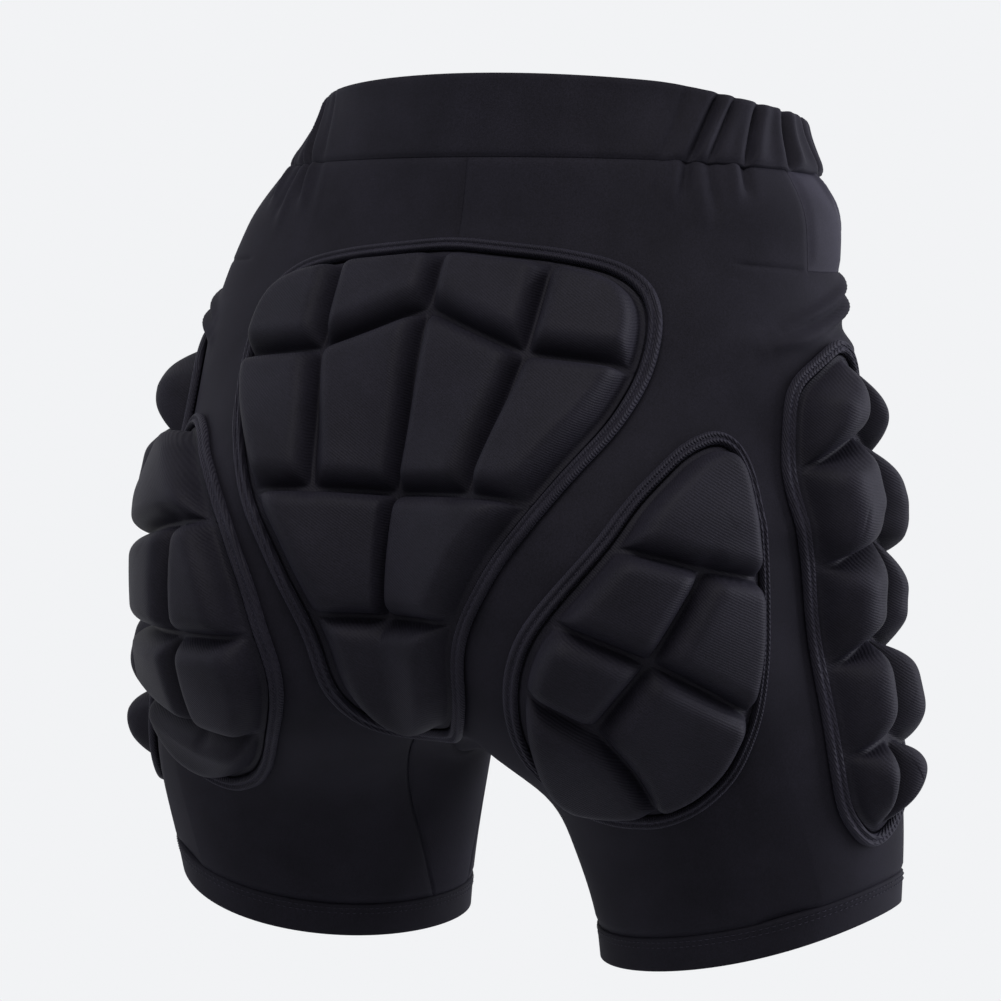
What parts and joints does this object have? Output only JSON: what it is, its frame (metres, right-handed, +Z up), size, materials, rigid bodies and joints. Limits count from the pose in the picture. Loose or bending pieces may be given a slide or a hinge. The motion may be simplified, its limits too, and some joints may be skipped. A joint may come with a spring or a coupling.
{
  "type": "padded impact shorts",
  "caption": "Close-fitting knit impact shorts with raised cell foam pads over the tailbone, rear thighs and hips, worn under outer clothes to soften falls.",
  "frame": {"origin": "centre of the waist opening, level with the rear rim", "axes": "+Z up, the wearer's front towards -Y, the wearer's left towards +X"},
  "size_m": [0.441, 0.2822, 0.4254],
  "materials": {
    "main_knit": "matt stretch knit, near black",
    "waistband_knit": "matt doubled stretch knit, near black",
    "side_yoke_knit": "slightly lighter stretch knit",
    "inner_thigh_knit": "slightly brushed stretch knit",
    "elastic_tape": "ribbed woven elastic",
    "pad_cover_knit": "finely ribbed spacer knit with a soft sheen",
    "pad_binding": "stitched knit tape",
    "pad_backing": "matt lining knit",
    "pad_foam": "closed-cell foam under a knit face"
  },
  "bodies": {
    "pelvis": {"waistband_rear": "waistband_knit", "waistband_front": "waistband_knit", "waistband_side_left": "waistband_knit", "side_elastic_left": "elastic_tape", "rear_yoke_left": "main_knit", "side_yoke_left": "side_yoke_knit", "seat_panel_left": "main_knit", "front_panel_left": "main_knit", "waistband_side_right": "waistband_knit", "side_elastic_right": "elastic_tape", "rear_yoke_right": "main_knit", "side_yoke_right": "side_yoke_knit", "seat_panel_right": "main_knit", "front_panel_right": "main_knit", "crotch_gusset": "inner_thigh_knit", "tailbone_pad_foam": "pad_foam", "tailbone_pad_cover": "pad_cover_knit", "tailbone_pad_binding": "pad_binding", "tailbone_pad_backing": "pad_backing"},
    "left_leg": {"leg_panel_left": "main_knit", "inner_thigh_panel_left": "inner_thigh_knit", "hem_left": "main_knit", "thigh_pad_foam_left": "pad_foam", "thigh_pad_cover_left": "pad_cover_knit", "thigh_pad_binding_left": "pad_binding", "thigh_pad_backing_left": "pad_backing", "hip_pad_foam_left": "pad_foam", "hip_pad_cover_left": "pad_cover_knit", "hip_pad_binding_left": "pad_binding", "hip_pad_backing_left": "pad_backing"},
    "right_leg": {"leg_panel_right": "main_knit", "inner_thigh_panel_right": "inner_thigh_knit", "hem_right": "main_knit", "thigh_pad_foam_right": "pad_foam", "thigh_pad_cover_right": "pad_cover_knit", "thigh_pad_binding_right": "pad_binding", "thigh_pad_backing_right": "pad_backing", "hip_pad_foam_right": "pad_foam", "hip_pad_cover_right": "pad_cover_knit", "hip_pad_binding_right": "pad_binding", "hip_pad_backing_right": "pad_backing"}
  },
  "joints": [
    {"name": "left_leg_swing", "type": "hinge", "parent": "pelvis", "child": "left_leg", "pos_m": [0.11, 0.0771, -0.23], "axis": [-1, 0, 0], "range_deg": [-5, 20], "deforming": ["seat_panel_left", "front_panel_left", "crotch_gusset"]},
    {"name": "right_leg_swing", "type": "hinge", "parent": "pelvis", "child": "right_leg", "pos_m": [-0.11, 0.0742, -0.23], "axis": [-1, 0, 0], "range_deg": [-5, 20], "deforming": ["seat_panel_right", "front_panel_right", "crotch_gusset"]}
  ]
}
